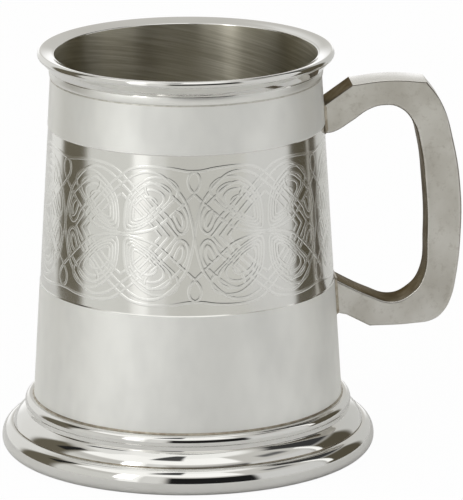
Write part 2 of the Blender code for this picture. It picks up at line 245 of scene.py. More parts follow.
def satin_outside():
    """Satin pewter with the faint clouds that hand finishing leaves, and a burnished band."""
    finish = Finish("satin_pewter")
    x, y, z = finish.split(finish.place())
    clouds = finish.cloud(finish.join(x, y, z * 0.5), 55.0, 3.0, 0.55)
    band = z.between(band_low_z, band_top_z)
    grain = finish.cloud(finish.join(x, y, z * 0.35), 2600.0, 2.0, 0.6)
    plain = finish.mix(clouds.eased(), (0.858, 0.860, 0.842), (0.962, 0.963, 0.938))
    pressed = finish.mix(clouds.eased(), (0.735, 0.730, 0.700), (0.765, 0.762, 0.735))
    colour = finish.mix(band, plain, pressed)
    satin = clouds.eased(0.70, 0.54)
    burnished = clouds.eased(0.16, 0.13)
    roughness = satin * (1 - band) + burnished * band
    return finish.metal(colour, roughness, finish.bump(grain, 0.00001, 0.35))


def brushed_inside():
    """The sheet's inner face, brushed round in long slanting strokes and a little dulled."""
    finish = Finish("brushed_pewter")
    place = finish.place()
    x, y, z = finish.split(place)
    slanted = z + x * 0.22
    strokes = finish.cloud(finish.join(x * 40.0, y * 40.0, slanted * 1500.0), 1.2, 5.0, 0.65)
    fine = finish.cloud(finish.join(x * 60.0, y * 60.0, slanted * 4200.0), 1.2, 3.0, 0.6)
    patches = finish.cloud(place, 30.0, 2.0)
    tint = finish.mix(strokes.smooth(0.35, 0.65), (0.54, 0.51, 0.41), (0.70, 0.67, 0.57))
    colour = finish.mix(patches.eased() * 0.25, tint, (0.50, 0.47, 0.38))
    normal = finish.bump(strokes * 0.6 + fine * 0.4, 0.00003, 0.5)
    streaks = {"Anisotropic": 0.92, "Anisotropic Rotation": 0.25}
    return finish.metal(colour, strokes.eased(0.33, 0.43), normal, **streaks)


def drum_section(top_z, low_z):
    """Down the outside, over the two borders of the pressed band, and back up the inside."""
    outside = [
        (drum_radius(top_z), top_z),
        (drum_radius(band_top_z), band_top_z),
        (drum_radius(band_top_z - band_step) - band_depth, band_top_z - band_step),
        (drum_radius(band_low_z + band_step) - band_depth, band_low_z + band_step),
        (drum_radius(band_low_z), band_low_z),
        (drum_radius(low_z), low_z),
    ]
    inside = [(drum_radius(low_z) - drum_wall, low_z), (drum_radius(top_z) - drum_wall, top_z)]
    return outside + inside


def on_inside(place):
    """Whether a place on the drum's wall, or in line with it, lies nearer its inner face."""
    return math.hypot(place.x - axis_x, place.y) < drum_radius(place.z) - drum_wall / 2


seam_turn = math.degrees(seam_half / drum_foot_radius)
drum = turned(
    "rolled_drum",
    drum_section(drum_top_z, drum_low_z),
    start=seam_turn,
    end=360.0 - seam_turn,
    sharp_angle=25.0,
)
drum.data.materials.append(satin_outside())
drum.data.materials.append(brushed_inside())
for face in drum.data.polygons:
    face.material_index = int(on_inside(face.center))
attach(drum, "root")
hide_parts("drum")


# The interlace: raised strands, embossed with the burnished band while the sheet is still flat.
# Each repeat is four nested petals crossed by a lattice of slanting strands, with small loops
# where two repeats meet.  The strands pass over and under one another by turns.

repeats = 6
repeat_width = 0.0446
repeat_middle_z = (band_top_z + band_low_z) / 2 - 0.0002
first_repeat = math.radians(-2.0)
strand_top = 0.00050
strand_foot = 0.00094
strand_height = 0.00004
strand_sunk = 0.00001
strand_dip = 0.000022
# The drawing itself is in millimetres.  Each dip is deepest within dip_near of a crossing and
# gone at dip_far, and strand_order sets each strand a hair higher than the one before it.
half_width = 22.3
dip_near = 0.40
dip_far = 0.80
station_gap = 0.08
strand_order = 0.04


def smooth_run(knots, spacing=0.45, closed=False):
    """A smooth line through a few knots, with a point about every half millimetre."""
    if closed:
        held = [knots[-1], *knots, knots[0], knots[1]]
    else:
        before = (2 * knots[0][0] - knots[1][0], 2 * knots[0][1] - knots[1][1])
        after = (2 * knots[-1][0] - knots[-2][0], 2 * knots[-1][1] - knots[-2][1])
        held = [before, *knots, after]
    run = []
    for corners in zip(held, held[1:], held[2:], held[3:]):
        count = max(1, round(math.dist(corners[1], corners[2]) / spacing))
        for step in range(count):
            t = step / count
            place = []
            for a, b, c, d in zip(*corners):
                bend = (c - a) * t + (2 * a - 5 * b + 4 * c - d) * t**2 + (3 * b - a - 3 * c + d) * t**3
                place.append(b + bend / 2)
            run.append(tuple(place))
    return run + [held[-2]]


def quarter_strands():
    """The strands in one quarter of a repeat, in millimetres from the repeat's middle."""
    strands = []
    petal = [(1.2, 2.0), (1.1, 6.0), (2.0, 10.4), (4.6, 14.0), (9.2, 16.9), (14.2, 16.9)]
    petal += [(17.3, 14.6), (16.9, 11.4), (13.4, 7.9), (9.8, 4.5), (5.6, 2.1), (2.4, 1.2)]
    heart = (6.0, 6.8)
    for share in (1.0, 0.82, 0.64, 0.44):
        ring = [(heart[0] + (u - heart[0]) * share, heart[1] + (v - heart[1]) * share) for u, v in petal]
        strands.append(smooth_run(ring, 0.8, closed=True))
    for row in range(3):
        top, side = 17.4 - 2.8 * row, 17.2 - 2.4 * row
        slant = [(0, top), (side * 0.25, top * 0.79), (side * 0.52, top * 0.53)]
        slant += [(side * 0.78, top * 0.26), (side, 0)]
        strands.append(smooth_run(slant))
    leaf = [(18.5, 0.9), (20.2, 2.4), (20.4, 5.4), (18.8, 8.9), (15.2, 12.4), (11.4, 15.0)]
    leaf += [(8.4, 15.3), (7.6, 13.4), (9.2, 10.8), (12.4, 7.8), (15.4, 4.8), (16.9, 2.0)]
    strands.append(smooth_run(leaf, 0.8, closed=True))
    seed = [(18.7, 2.6), (19.1, 4.6), (18.4, 6.6), (16.9, 7.6), (16.5, 6.2), (17.6, 3.6)]
    strands.append(smooth_run(seed, 0.6, closed=True))
    diagonal = [(half_width, 12.5), (19.7, 10.0), (16.0, 6.6), (12.6, 3.7), (10.2, 2.1)]
    strands.append(smooth_run(diagonal + [(5.4, 0.75), (1.4, 0.3), (0, 0)]))
    spindle = [(half_width, 0), (21.9, 2.6), (21.1, 6.2), (19.9, 9.8), (17.8, 13.0), (15.0, 16.0)]
    strands.append(smooth_run(spindle + [(11.6, 18.2), (7.6, 18.6), (3.6, 17.2), (0, 14.6)]))
    loop = [(half_width, 12.5), (20.9, 14.4), (20.5, 16.3), (21.1, 18.1), (half_width, 18.9)]
    strands.append(smooth_run(loop))
    border = [(half_width, 19.1), (20.0, 19.2), (15.5, 19.9), (9.0, 20.2), (3.6, 19.4), (0, 17.4)]
    strands.append(smooth_run(border))
    return strands


def crossing(first, second, third, fourth):
    """Where two short straight runs cross, as the shares along each, or None."""
    ux, uy = second[0] - first[0], second[1] - first[1]
    wx, wy = fourth[0] - third[0], fourth[1] - third[1]
    across = ux * wy - uy * wx
    if abs(across) < 1e-12:
        return None
    dx, dy = third[0] - first[0], third[1] - first[1]
    along_first = (dx * wy - dy * wx) / across
    along_second = (dx * uy - dy * ux) / across
    if 0 <= along_first < 1 and 0 <= along_second < 1:
        return along_first, along_second
    return None


def find_crossings(strands):
    """Every place where two strands cross: for each strand, the distances along it and the pair."""
    lengths = []
    for strand in strands:
        run = [0.0]
        for first, second in zip(strand, strand[1:]):
            run.append(run[-1] + math.dist(first, second))
        lengths.append(run)
    met = [[] for _ in strands]
    count = 0
    for one in range(len(strands)):
        for other in range(one + 1, len(strands)):
            for i in range(len(strands[one]) - 1):
                a, b = strands[one][i], strands[one][i + 1]
                for j in range(len(strands[other]) - 1):
                    c, d = strands[other][j], strands[other][j + 1]
                    if min(c[0], d[0]) > max(a[0], b[0]) or max(c[0], d[0]) < min(a[0], b[0]):
                        continue
                    found = crossing(a, b, c, d)
                    if found:
                        first_at = lengths[one][i] + found[0] * math.dist(a, b)
                        second_at = lengths[other][j] + found[1] * math.dist(c, d)
                        met[one].append((first_at, count, other))
                        met[other].append((second_at, count, one))
                        count += 1
    for places in met:
        places.sort()
    return lengths, met


def weave(strands):
    """For each strand, the distances along it at which it dips under another."""
    lengths, met = find_crossings(strands)
    phase = {}
    for start in range(len(strands)):
        if start in phase:
            continue
        phase[start] = 0
        waiting = [start]
        while waiting:
            strand = waiting.pop()
            for order, (_, mark, other) in enumerate(met[strand]):
                if other not in phase:
                    place = [m for _, m, _ in met[other]].index(mark)
                    phase[other] = (phase[strand] + order + 1 + place) % 2
                    waiting.append(other)
    dips = [[] for _ in strands]
    settled = set()
    for strand, places in enumerate(met):
        for order, (at, mark, other) in enumerate(places):
            if mark in settled:
                continue
            settled.add(mark)
            if (order + phase[strand]) % 2:
                dips[strand].append(at)
            else:
                dips[other].append(next(a for a, m, _ in met[other] if m == mark))
    return lengths, dips


def interlace_lines():
    """One whole repeat as a mesh of lines lying flat, with each point's dip kept beside it."""
    strands = quarter_strands()
    lengths, dips = weave(strands)
    points, edges, lifts = [], [], []
    for number, (strand, run, under) in enumerate(zip(strands, lengths, dips)):
        stations = set(run)
        for at in under:
            stations.update(at + step for step in (-dip_far, -dip_near, dip_near, dip_far))
        stations = sorted(at for at in stations if 0 <= at <= run[-1])
        stations = [at for at, after in zip(stations, stations[1:]) if after - at > station_gap]
        stations.append(run[-1])
        closed = math.dist(strand[0], strand[-1]) < 1e-6
        line = []
        spot = 0
        for at in stations:
            nearest = min((abs(at - other) for other in under), default=dip_far)
            lift = -min(1.0, max(0.0, (dip_far - nearest) / (dip_far - dip_near)))
            while spot < len(run) - 2 and run[spot + 1] < at:
                spot += 1
            share = (at - run[spot]) / (run[spot + 1] - run[spot])
            first, second = strand[spot], strand[spot + 1]
            u = first[0] + share * (second[0] - first[0])
            v = first[1] + share * (second[1] - first[1])
            line.append((u, v, lift))
        for side_u in (1, -1):
            for side_v in (1, -1):
                base = len(points)
                kept = line[:-1] if closed else line
                for u, v, lift in kept:
                    points.append((side_u * u / 1000, side_v * v / 1000, 0.0))
                    lifts.append(lift + number * strand_order)
                edges += [(base + i, base + i + 1) for i in range(len(kept) - 1)]
                if closed:
                    edges.append((base + len(kept) - 1, base))
    mesh = bpy.data.meshes.new("interlace")
    mesh.from_pydata(points, edges, [])
    layer = mesh.attributes.new("dip", "FLOAT", "POINT")
    layer.data.foreach_set("value", lifts)
    return mesh


class Recipe(Nodes):
    """A geometry tree with named inputs."""

    def __init__(self, name, inputs):
        super().__init__(bpy.data.node_groups.new(name, "GeometryNodeTree"))
        sockets = self.tree.interface
        sockets.new_socket("Geometry", in_out="OUTPUT", socket_type="NodeSocketGeometry")
        sockets.new_socket("Geometry", in_out="INPUT", socket_type="NodeSocketGeometry")
        self.keys = {}
        for label, kind in inputs.items():
            self.keys[label] = sockets.new_socket(label, in_out="INPUT", socket_type=kind).identifier
        self.given = self.add("NodeGroupInput").out


def interlace_recipe():
    """Strands swept along the flat lines, wrapped on the drum and repeated round it."""
    made = Recipe(
        "interlace_strands",
        {
            "Repeats": "NodeSocketInt",
            "First Repeat": "NodeSocketFloat",
            "Strand Top": "NodeSocketFloat",
            "Strand Foot": "NodeSocketFloat",
            "Strand Height": "NodeSocketFloat",
            "Dip": "NodeSocketFloat",
            "Middle Radius": "NodeSocketFloat",
            "Middle Height": "NodeSocketFloat",
            "Lean": "NodeSocketFloat",
            "Depth": "NodeSocketFloat",
            "Axis": "NodeSocketVector",
            "Metal": "NodeSocketMaterial",
        },
    )
    given = made.given
    lines = made.add("GeometryNodeMeshToCurve", {}, {0: given("Geometry")}).out()
    upright = made.add("GeometryNodeSetCurveNormal", {"mode": "Z_UP"}, {0: lines}).out()
    # The side called the bottom is the one that ends up outwards.
    widths = {"Bottom Width": given("Strand Top"), "Top Width": given("Strand Foot"), "Offset": 0.0}
    section = made.add(
        "GeometryNodeCurvePrimitiveQuadrilateral",
        {"mode": "TRAPEZOID"},
        {**widths, "Height": given("Strand Height")},
    ).out()
    sweep = {"Curve": upright, "Profile Curve": section, "Fill Caps": True}
    swept = made.add("GeometryNodeCurveToMesh", {}, sweep).out()
    x, y, z = made.split(made.add("GeometryNodeInputPosition").out())
    dip = made.add("GeometryNodeInputNamedAttribute", {"data_type": "FLOAT"}, {"Name": "dip"}).out()
    turn = x / given("Middle Radius")
    radius = given("Middle Radius") - y * given("Lean") - given("Depth") + z + dip * given("Dip")
    around = made.join(radius * turn.math("COSINE"), radius * turn.math("SINE"), y + given("Middle Height"))
    wrapped = made.add("GeometryNodeSetPosition", {}, {0: swept, "Position": around}).out()
    row = {"Count": given("Repeats"), "Start Location": given("Axis"), "Offset": (0, 0, 0)}
    spots = made.add("GeometryNodeMeshLine", {}, row).out()
    share = made.add("GeometryNodeInputIndex").out() / given("Repeats")
    rotation = made.join(0.0, 0.0, share * (2 * math.pi) + given("First Repeat"))
    round_drum = {"Points": spots, "Instance": wrapped, "Rotation": rotation}
    copies = made.add("GeometryNodeInstanceOnPoints", {}, round_drum).out()
    real = made.add("GeometryNodeRealizeInstances", {}, {0: copies}).out()
    finished = made.add("GeometryNodeSetMaterial", {}, {0: real, "Material": given("Metal")}).out()
    made.add("NodeGroupOutput", {}, {0: finished})
    return made


def made_plain(piece, recipe, values):
    """Runs a recipe on a piece and keeps only the mesh that comes of it."""
    modifier = piece.modifiers.new("recipe", "NODES")
    modifier.node_group = recipe.tree
    for label, value in values.items():
        modifier[recipe.keys[label]] = value
    bpy.context.view_layer.update()
    evaluated = piece.evaluated_get(bpy.context.evaluated_depsgraph_get())
    mesh = bpy.data.meshes.new_from_object(evaluated)
    piece.modifiers.remove(modifier)
    rough = piece.data
    piece.data = mesh
    bpy.data.meshes.remove(rough)
    return piece


interlace = bpy.data.objects.new("interlace", interlace_lines())
bpy.context.scene.collection.objects.link(interlace)
lean = (drum_foot_radius - drum_top_radius) / (mount_z - foot_z)
middle_radius = repeats * repeat_width / (2 * math.pi)
strand_middle = drum_radius(repeat_middle_z) - band_depth - strand_sunk + strand_height / 2
# The strands are burnished with the band, and come out a little paler and rougher than it.
burnished = clouded_metal(
    "burnished_pewter", (60.0, 2.0), (0.820, 0.818, 0.790), (0.860, 0.858, 0.832), (0.25, 0.21)
)
interlace = made_plain(
    interlace,
    interlace_recipe(),
    {
        "Repeats": repeats,
        "First Repeat": first_repeat,
        "Strand Top": strand_top,
        "Strand Foot": strand_foot,
        "Strand Height": strand_height,
        "Dip": strand_dip,
        "Middle Radius": middle_radius,
        "Middle Height": repeat_middle_z,
        "Lean": lean,
        "Depth": middle_radius - strand_middle,
        "Axis": (axis_x, 0.0, 0.0),
        "Metal": burnished,
    },
)
interlace.data.shade_smooth()
interlace.data.set_sharp_from_angle(angle=math.radians(8))
# The recipe leaves an empty slot before the one that holds its metal.
interlace.data.materials.pop(index=0)
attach(interlace, "root")


# The seam: soft solder run down the butt joint behind the handle and filed flush with the sheet.
# It fills the joint from end to end and laps a hair over both edges.

seam_proud = 0.00002
seam_lap = 1.05
seam_section = []
for radius, z in drum_section(drum_top_z, drum_low_z):
    proud = seam_proud if radius > drum_radius(z) - drum_wall / 2 else -seam_proud
    seam_section.append((radius + proud, z))
seam = turned("drum_seam", seam_section, steps=2, start=-seam_turn * seam_lap, end=seam_turn * seam_lap)
filed_solder = clouded_metal(
    "filed_seam", (420.0, 3.0, 0.6), (0.62, 0.60, 0.55), (0.78, 0.765, 0.72), (0.55, 0.40)
)
seam.data.materials.append(filed_solder)
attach(seam, "root")
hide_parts("seam_solder")


# The mouth mount: cast pewter, turned and polished, soldered over the upper edge of the drum.
# A shallow funnel falls inwards from the lip, and a small collar covers the joint outside.

lip_radius = drum_top_radius + 0.00365
lip_rounding = 0.0009
lip_edge = 0.0011
lip_funnel = 0.00105
lip_inner_step = 0.0004
lip_undercut = 0.0051
lip_cove = 0.00015
lip_land = 0.0003
lip_land_fall = 0.00004
funnel_swell = 0.00012
collar_proud = 0.0005
collar_drop = 0.0003


def arc(centre, radii, start, end, count):
    """Points on an elliptical arc, in degrees."""
    points = []
    for step in range(count + 1):
        angle = math.radians(start + (end - start) * step / count)
        points.append((centre[0] + radii[0] * math.cos(angle), centre[1] + radii[1] * math.sin(angle)))
    return points


def hollow(start, end, count, sag):
    """Points from start to end, hollowed sideways by sag at the middle."""
    run = (end[0] - start[0], end[1] - start[1])
    length = math.hypot(*run)
    side = (run[1] / length, -run[0] / length)
    points = []
    for step in range(count + 1):
        share = step / count
        bow = 4 * sag * share * (1 - share)
        across = start[0] + run[0] * share + side[0] * bow
        points.append((across, start[1] + run[1] * share + side[1] * bow))
    return points


def mount_section():
    """Crest, rounded edge, sloping underside, collar, then up the inner wall to the funnel."""
    crest = lip_radius - lip_rounding
    inner_wall = drum_radius(mount_z) - drum_wall
    inner_top = crest_z - lip_funnel - lip_inner_step
    edge_z = crest_z - lip_edge
    under_z = crest_z - lip_undercut
    collar = drum_radius(under_z) + collar_proud
    outside = arc((crest, edge_z), (lip_rounding, lip_edge), 90, -45, 18)
    outside += hollow(outside[-1], (collar + lip_cove, under_z), 8, lip_cove)[1:]
    middle = (under_z + mount_z) / 2
    at_middle = drum_radius(middle)
    outside += arc((at_middle, middle), (collar - at_middle, middle - mount_z), 60, -90, 14)
    lean_in = drum_radius(mount_z) - drum_radius(inner_top)
    top_inner = inner_wall - lean_in
    inside = [(inner_wall, mount_z), (top_inner, inner_top)]
    inside += arc((top_inner + lip_inner_step, inner_top), (lip_inner_step, lip_inner_step), 180, 90, 6)[1:]
    funnel = hollow(inside[-1], (crest - lip_land, crest_z - lip_land_fall), 8, -funnel_swell)[1:]
    return outside + inside + funnel


def polished_outside():
    """Bright polished pewter, with faint turning marks."""
    finish = Finish("polished_pewter")
    place = finish.place()
    x, y, z = finish.split(place)
    clouds = finish.cloud(place, 55.0, 2.0)
    radius = (x * x + y * y).math("SQRT")
    rings = finish.cloud(finish.join(radius * 9000.0, z * 9000.0, 0.0), 1.0, 2.0, 0.6)
    colour = finish.mix(clouds.eased(), (0.735, 0.728, 0.705), (0.765, 0.760, 0.740))
    return finish.metal(colour, clouds.eased(0.060, 0.035), finish.bump(rings, 0.000004, 0.25))


mouth_mount = turned("mouth_rim", mount_section(), sharp_angle=50.0)
polished = polished_outside()
brushed = drum.data.materials[1]
wiped_collar = clouded_metal(
    "soft_collar", (70.0, 3.0), (0.86, 0.856, 0.83), (0.91, 0.906, 0.885), (0.50, 0.38)
)
for metal in (polished, brushed, wiped_collar):
    mouth_mount.data.materials.append(metal)
collar_top_z = crest_z - lip_undercut - collar_drop
wall_top_z = crest_z - lip_funnel - lip_inner_step * 0.8
for face in mouth_mount.data.polygons:
    if face.center.z < wall_top_z and on_inside(face.center):
        face.material_index = 1
    elif face.center.z < collar_top_z:
        face.material_index = 2
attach(mouth_mount, "root")
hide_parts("mouth_mount")


# The rim solder: the fine line of solder between the drum and the mouth mount.
# It is filed flush outside, and brushed over with the wall inside.

solder_proud = 0.00002
mount_solder = turned(
    "rim_solder",
    [
        (drum_radius(mount_z) + solder_proud, mount_z),
        (drum_radius(drum_top_z) + solder_proud, drum_top_z),
        (drum_radius(drum_top_z) - drum_wall, drum_top_z),
        (drum_radius(mount_z) - drum_wall, mount_z),
    ],
)
mount_solder.data.materials.append(filed_solder)
mount_solder.data.materials.append(brushed)
for face in mount_solder.data.polygons:
    face.material_index = int(on_inside(face.center))
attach(mount_solder, "root")
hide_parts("mount_solder")


# The floor: a disc with a turned-down edge, pushed up inside the drum and sealed with solder.

floor_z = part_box("floor_disc")[1].z
floor_rim = drum_radius(floor_z) - drum_wall
floor_wall = 0.0011
floor_flange = 0.0018
floor_edge = 0.0006


def floor_section():
    """The floor's upper face, its rounded edge, the skirt, and back along its underside."""
    low = floor_z - floor_wall
    corner = arc((floor_rim - floor_edge, floor_z - floor_edge), (floor_edge, floor_edge), 90, 0, 6)
    skirt = [(floor_rim, low - floor_flange), (floor_rim - floor_wall, low - floor_flange)]
    return [(0.0, floor_z)] + corner + skirt + [(floor_rim - floor_wall, low), (0.0, low)]


def brushed_floor():
    """Brushed round and round on the lathe."""
    finish = Finish("brushed_floor")
    x, y, z = finish.split(finish.place())
    radius = (x * x + y * y).math("SQRT")
    rings = finish.cloud(finish.join(radius * 1500.0, z, 0.0), 3.0, 4.0, 0.6)
    colour = finish.mix(rings.eased(), (0.44, 0.42, 0.36), (0.58, 0.56, 0.50))
    return finish.metal(colour, rings.eased(0.32, 0.42), finish.bump(rings, 0.00003, 0.5))


floor_disc = turned("floor_plate", floor_section(), steps=160)
floor_disc.data.materials.append(brushed_floor())
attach(floor_disc, "root")
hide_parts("floor_disc")


# The floor seal: a hollow bead of soft solder run round the corner between floor and drum,
# which makes the tankard watertight.

seal = 0.0011
seal_hollow = 0.0002
seal_sink = 0.0002
seal_lap = 0.0001
seal_top_z = floor_z + seal
seal_back = drum_radius(seal_top_z) - drum_wall + seal_lap
floor_solder = turned(
    "floor_seal",
    [(seal_back, seal_top_z)]
    + hollow((seal_back - seal_lap, seal_top_z), (seal_back - seal, floor_z), 6, seal_hollow)
    + [(seal_back - seal, floor_z - seal_sink), (seal_back, floor_z - seal_sink)],
    steps=160,
)


def solder_metal(name):
    """Soft solder: greyer and browner than the pewter, dulled where the flux sat."""
    return clouded_metal(name, (420.0, 3.0, 0.6), (0.30, 0.26, 0.20), (0.46, 0.42, 0.35), (0.42, 0.30))


floor_solder.data.materials.append(solder_metal("floor_solder"))
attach(floor_solder, "root")
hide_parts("floor_solder")


# The foot: a cast and turned moulding, slipped up over the drum and soldered to it, with a
# round bead and an outward sweep.  It is highly polished.

foot_top_radius = drum_foot_radius + 0.00094
bead_proud = 0.0017
bead_height = 0.0042
bead_turn_in = 0.0002
foot_wall = 0.0013
foot_cove = 0.0005
groove_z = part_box("foot_moulding")[0].z
groove_radius = (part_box("foot_moulding")[1].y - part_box("foot_moulding")[0].y) / 2


def foot_section():
    """The bead and the sweep down to the groove, then back up inside the wall."""
    bead_low = foot_z - bead_height
    bead_middle = bead_low + bead_height / 2
    bead = arc((foot_top_radius, bead_middle), (bead_proud, bead_height / 2), 90, -30, 20)
    corner = (foot_top_radius + bead_proud - bead_turn_in, bead_low)
    outside = bead + hollow(corner, (groove_radius, groove_z), 14, -foot_cove)
    inner_corner = (drum_radius(bead_low), bead_low)
    inside = hollow((groove_radius - foot_wall, groove_z), inner_corner, 6, foot_cove / 2)
    return outside + inside + [(drum_radius(foot_z), foot_z)]


foot = turned("moulded_foot", foot_section(), sharp_angle=50.0)
foot.data.materials.append(polished)
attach(foot, "root")
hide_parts("foot_moulding")


# The foot seal: soft solder that closes the joint above the foot and holds the foot on.  It shows
# as a thin brownish line round the drum.

fillet = 0.00045
fillet_hollow = 0.00008
fillet_top_z = foot_z + fillet
fillet_top = drum_radius(fillet_top_z)
fillet_foot = drum_radius(foot_z) + fillet
foot_solder = turned(
    "foot_seal",
    [(fillet_top - seal_lap, fillet_top_z)]
    + hollow((fillet_top, fillet_top_z), (fillet_foot, foot_z), 5, fillet_hollow)
    + [(fillet_foot, foot_z - seal_lap), (drum_radius(foot_z) - seal_lap, foot_z - seal_lap)],
)
foot_solder.data.materials.append(solder_metal("foot_solder"))
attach(foot_solder, "root")
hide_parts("foot_solder")


# The base ring: a stout half-round casting that the tankard stands on, soldered under the foot
# and polished with it.

base_radius = (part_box("base_ring")[1].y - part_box("base_ring")[0].y) / 2
base_top_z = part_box("base_ring")[1].z
base_midline = 0.0034
base_width = 0.0074
base_flat = 0.0010
base_flat_shift = 0.0008
base_chamfer = 0.0008
base_step = 0.0001
base_shoulder = groove_radius + base_step


def base_section():
    """The swell, the narrow flat that the tankard stands on, and the ring's inner side."""
    inner = base_radius - base_width
    flat_middle = inner + base_width / 2 - base_flat_shift
    shoulder = base_radius - base_shoulder
    upper = arc((base_shoulder, base_midline), (shoulder, base_top_z - base_midline), 90, 0, 20)
    swell = base_radius - flat_middle - base_flat
    lower = arc((flat_middle + base_flat, base_midline), (swell, base_midline), 0, -90, 18)
    heel = flat_middle - base_flat
    inside = arc((heel, base_midline), (heel - inner, base_midline), 270, 180, 8)
    chamfer = [(inner, base_top_z - base_chamfer), (inner + base_chamfer, base_top_z)]
    return upper + lower[1:] + inside + chamfer


base_ring = turned("standing_ring", base_section(), sharp_angle=50.0)
base_ring.data.materials.append(polished)
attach(base_ring, "root")
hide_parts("base_ring")


# The groove seal: solder drawn into the joint between the foot's wall and the base ring.
# Only its edge shows, at the bottom of the groove.

groove_seal_rise = 0.0006
groove_seal_depth = 0.0006
groove_seal_in = groove_radius - foot_wall - groove_seal_depth
groove_line = turned(
    "groove_seal",
    [
        (groove_radius - seal_lap, groove_z + seal_lap),
        (groove_radius - seal_lap, base_top_z - seal_lap),
        (groove_seal_in, base_top_z - seal_lap),
        (groove_seal_in, groove_z + groove_seal_rise),
    ],
)
groove_line.data.materials.append(solder_metal("base_solder"))
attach(groove_line, "root")
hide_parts("base_solder")


# The handle: a flat one-piece casting with bevelled corners, filed and finished satin.
# Both arms are cut to the drum's curve and soldered to it.

handle_thickness = 0.0110
# Each point: its reach from the drum's axis, its height, the rounding of the edge there in
# millimetres, and whether it is a sharp corner.
handle_outline = [
    (0.03965, 0.10300, 0.35, True),
    (0.04830, 0.10910, 0.35, True),
    (0.05980, 0.11020, 0.35, False),
    (0.07010, 0.10940, 0.35, True),
    (0.07450, 0.10320, 1.20, False),
    (0.07830, 0.09100, 1.25, False),
    (0.08050, 0.07600, 1.25, False),
    (0.08059, 0.06410, 1.25, False),
    (0.07910, 0.04930, 1.25, False),
    (0.07770, 0.04350, 1.25, False),
    (0.07570, 0.03970, 1.20, False),
    (0.07270, 0.03720, 1.10, False),
    (0.06600, 0.03610, 0.90, False),
    (0.05360, 0.03580, 0.60, True),
    (0.04660, 0.03950, 0.60, True),
    (0.04342, 0.04020, 0.60, True),
    (0.04280, 0.05080, 0.50, True),
    (0.05330, 0.04540, 0.60, False),
    (0.06040, 0.04320, 0.80, False),
    (0.06540, 0.04510, 0.90, False),
    (0.06900, 0.04940, 0.90, False),
    (0.07040, 0.06220, 0.90, False),
    (0.06970, 0.08000, 0.90, False),
    (0.06830, 0.09070, 0.90, False),
    (0.06630, 0.09730, 0.90, False),
    (0.06210, 0.10180, 0.80, False),
    (0.05750, 0.10260, 0.60, False),
    (0.05350, 0.10160, 0.55, False),
    (0.04800, 0.09800, 0.50, False),
    (0.04270, 0.09500, 0.50, False),
    (0.04010, 0.09470, 0.50, True),
]


def handle_points(samples=10):
    """The handle's outline as closely spaced points, each with its own edge rounding."""
    curve = bpy.data.curves.new("handle_outline", "CURVE")
    curve.dimensions = "3D"
    curve.resolution_u = samples
    spline = curve.splines.new("BEZIER")
    spline.bezier_points.add(len(handle_outline) - 1)
    spline.use_cyclic_u = True
    for knot, (reach, z, _, corner) in zip(spline.bezier_points, handle_outline):
        knot.co = (reach, z, 0.0)
        knot.handle_left_type = "VECTOR" if corner else "AUTO"
        knot.handle_right_type = "VECTOR" if corner else "AUTO"
    drawing = bpy.data.objects.new("handle_outline", curve)
    bpy.context.scene.collection.objects.link(drawing)
    bpy.context.view_layer.update()
    mesh = bpy.data.meshes.new_from_object(drawing.evaluated_get(bpy.context.evaluated_depsgraph_get()))
    line = [Vector((v.co.x, v.co.y)) for v in mesh.vertices]
    bpy.data.objects.remove(drawing)
    bpy.data.meshes.remove(mesh)
    roundings = []
    for number in range(len(line)):
        knot, step = divmod(number, samples)
        here = handle_outline[knot % len(handle_outline)][2]
        after = handle_outline[(knot + 1) % len(handle_outline)][2]
        roundings.append((here + (after - here) * step / samples) / 1000)
    return line, roundings


def handle_mesh(steps=6, first_inset=1.15, sharpest=0.35):
    """The outline carried across the thickness, its edges rounded by as much as each point says."""
    line, roundings = handle_points()
    count = len(line)
    inwards = []
    for number in range(count):
        before = (line[number] - line[number - 1]).normalized()
        after = (line[(number + 1) % count] - line[number]).normalized()
        along = (before + after).normalized()
        stretch = 1 / max(sharpest, math.cos(before.angle_signed(after) / 2))
        inwards.append(Vector((along.y, -along.x)) * stretch)
    half = handle_thickness / 2
    lower = [(-1, first_inset, 1.0)]
    for step in range(steps + 1):
        turn = math.pi / 2 * step / steps
        lower.append((-1, 1 - math.sin(turn), math.cos(turn)))
    points = []
    rows = []
    upper = [(1, inset, out) for _, inset, out in reversed(lower)]
    for side, inset, out in lower + upper:
        row = []
        for place, rounding, inward in zip(line, roundings, inwards):
            at = place + inward * rounding * inset
            y = side * (half - rounding * (1 - out))
            row.append(len(points))
            points.append((axis_x + at.x, y, at.y))
        rows.append(row)
    faces = []
    for row, above in zip(rows, rows[1:]):
        for number in range(count):
            after = (number + 1) % count
            faces.append((row[number], row[after], above[after], above[number]))
    faces.append(tuple(rows[0]))
    faces.append(tuple(reversed(rows[-1])))
    return points, faces


def filed_casting():
    """Cast pewter, filed and rubbed to a warm satin, with a few darker stains."""
    finish = Finish("cast_pewter")
    place = finish.place()
    clouds = finish.cloud(place, 60.0, 3.0, 0.6)
    specks = finish.cloud(place, 650.0, 4.0, 0.65)
    grain = finish.cloud(place, 1500.0, 3.0, 0.6)
    warm = finish.mix(clouds.eased(), (0.56, 0.537, 0.488), (0.69, 0.675, 0.635))
    colour = finish.mix(specks.smooth(0.50, 0.72) * 0.35, warm, (0.40, 0.37, 0.32))
    normal = finish.bump(grain * 0.6 + specks * 0.4, 0.00004, 0.4)
    return finish.metal(colour, clouds.eased(0.36, 0.28), normal)


handle = piece_from("cast_handle", *handle_mesh(), sharp_angle=28.0)
